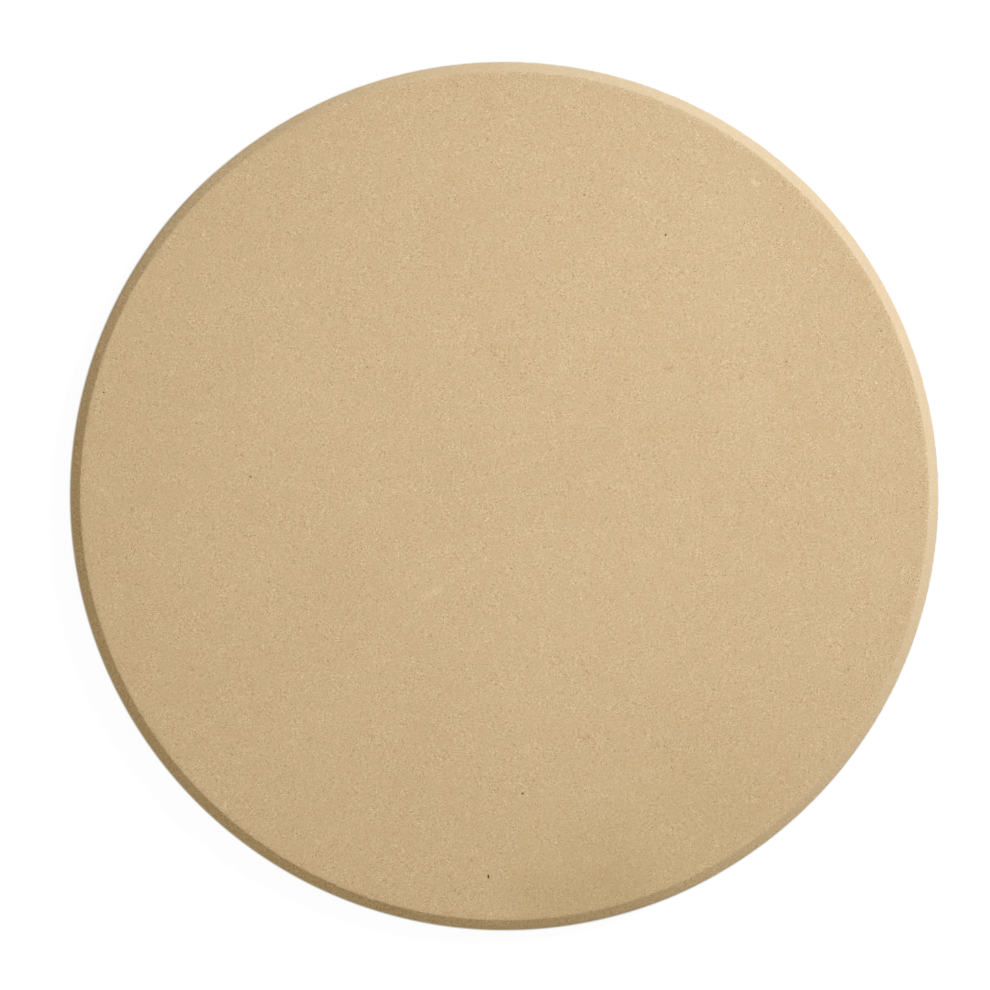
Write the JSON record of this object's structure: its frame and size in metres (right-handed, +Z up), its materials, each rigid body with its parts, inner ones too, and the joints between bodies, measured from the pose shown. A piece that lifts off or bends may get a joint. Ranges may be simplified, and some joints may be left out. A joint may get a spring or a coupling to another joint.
{
  "type": "pizza stone",
  "caption": "Round flat slab of fired cordierite with a bevelled upper edge. It stores oven or grill heat and bakes dough laid on its top face.",
  "frame": {"origin": "centre of the flat base that the slab rests on", "axes": "+Z up through the baking face, along the slab's axis; the slab is round about Z, so X and Y are free"},
  "size_m": [0.3799, 0.38, 0.015],
  "materials": {
    "cordierite": "matte"
  },
  "bodies": {
    "root": {"stone": "cordierite"}
  },
  "joints": []
}
